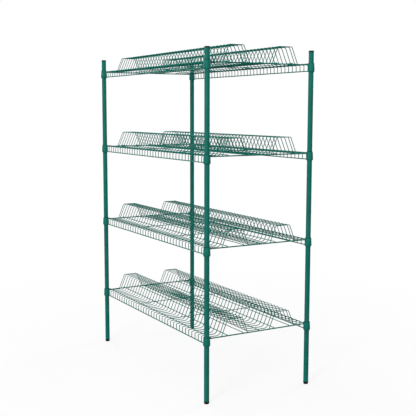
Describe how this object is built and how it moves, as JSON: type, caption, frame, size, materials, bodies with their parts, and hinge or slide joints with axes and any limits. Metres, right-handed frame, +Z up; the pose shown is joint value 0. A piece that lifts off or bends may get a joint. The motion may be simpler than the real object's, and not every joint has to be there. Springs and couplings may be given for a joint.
{
  "type": "wire shelving unit",
  "caption": "Green epoxy-coated wire shelving unit on round posts, its decks formed into ridges that hold trays on edge; shelves lift off and feet level.",
  "frame": {"origin": "on the floor, under the middle of the unit", "axes": "+Z up, +X along the shelves, -Y towards the front"},
  "size_m": [1.2216, 0.6116, 1.6707],
  "materials": {
    "green_epoxy": "satin epoxy coating",
    "cap_plastic": "moulded",
    "sleeve_plastic": "moulded",
    "pad_plastic": "moulded",
    "zinc_steel": "zinc plated"
  },
  "bodies": {
    "frame": {"post_front_left": "green_epoxy", "post_cap_front_left": "cap_plastic", "foot_insert_front_left": "pad_plastic", "post_front_right": "green_epoxy", "post_cap_front_right": "cap_plastic", "foot_insert_front_right": "pad_plastic", "post_back_left": "green_epoxy", "post_cap_back_left": "cap_plastic", "foot_insert_back_left": "pad_plastic", "post_back_right": "green_epoxy", "post_cap_back_right": "cap_plastic", "foot_insert_back_right": "pad_plastic", "split_sleeves_1": "sleeve_plastic", "split_sleeves_2": "sleeve_plastic", "split_sleeves_3": "sleeve_plastic", "split_sleeves_4": "sleeve_plastic"},
    "shelf_1": {"shelf_1_corner_collars": "green_epoxy", "shelf_1_side_rails": "green_epoxy", "shelf_1_edge_rails": "green_epoxy", "shelf_1_stringers": "green_epoxy", "shelf_1_cross_ties": "green_epoxy", "shelf_1_formed_wires": "green_epoxy", "shelf_1_end_arches": "green_epoxy"},
    "shelf_2": {"shelf_2_corner_collars": "green_epoxy", "shelf_2_side_rails": "green_epoxy", "shelf_2_edge_rails": "green_epoxy", "shelf_2_stringers": "green_epoxy", "shelf_2_cross_ties": "green_epoxy", "shelf_2_formed_wires": "green_epoxy", "shelf_2_end_arches": "green_epoxy"},
    "shelf_3": {"shelf_3_corner_collars": "green_epoxy", "shelf_3_side_rails": "green_epoxy", "shelf_3_edge_rails": "green_epoxy", "shelf_3_stringers": "green_epoxy", "shelf_3_cross_ties": "green_epoxy", "shelf_3_formed_wires": "green_epoxy", "shelf_3_end_arches": "green_epoxy"},
    "shelf_4": {"shelf_4_corner_collars": "green_epoxy", "shelf_4_side_rails": "green_epoxy", "shelf_4_edge_rails": "green_epoxy", "shelf_4_stringers": "green_epoxy", "shelf_4_cross_ties": "green_epoxy", "shelf_4_formed_wires": "green_epoxy", "shelf_4_end_arches": "green_epoxy"},
    "foot_front_left": {"foot_stem_front_left": "zinc_steel", "foot_pad_front_left": "pad_plastic"},
    "foot_front_right": {"foot_stem_front_right": "zinc_steel", "foot_pad_front_right": "pad_plastic"},
    "foot_back_left": {"foot_stem_back_left": "zinc_steel", "foot_pad_back_left": "pad_plastic"},
    "foot_back_right": {"foot_stem_back_right": "zinc_steel", "foot_pad_back_right": "pad_plastic"}
  },
  "joints": [
    {"name": "shelf_1_lift", "type": "slide", "parent": "frame", "child": "shelf_1", "axis": [0, 0, 1], "range_m": [0, 0.32]},
    {"name": "shelf_2_lift", "type": "slide", "parent": "frame", "child": "shelf_2", "axis": [0, 0, 1], "range_m": [0, 0.32]},
    {"name": "shelf_3_lift", "type": "slide", "parent": "frame", "child": "shelf_3", "axis": [0, 0, 1], "range_m": [0, 0.32]},
    {"name": "shelf_4_lift", "type": "slide", "parent": "frame", "child": "shelf_4", "axis": [0, 0, 1], "range_m": [0, 0.11]},
    {"name": "foot_front_left_level", "type": "slide", "parent": "frame", "child": "foot_front_left", "axis": [0, 0, -1], "range_m": [0, 0.02]},
    {"name": "foot_front_right_level", "type": "slide", "parent": "frame", "child": "foot_front_right", "axis": [0, 0, -1], "range_m": [0, 0.02]},
    {"name": "foot_back_left_level", "type": "slide", "parent": "frame", "child": "foot_back_left", "axis": [0, 0, -1], "range_m": [0, 0.02]},
    {"name": "foot_back_right_level", "type": "slide", "parent": "frame", "child": "foot_back_right", "axis": [0, 0, -1], "range_m": [0, 0.02]}
  ]
}
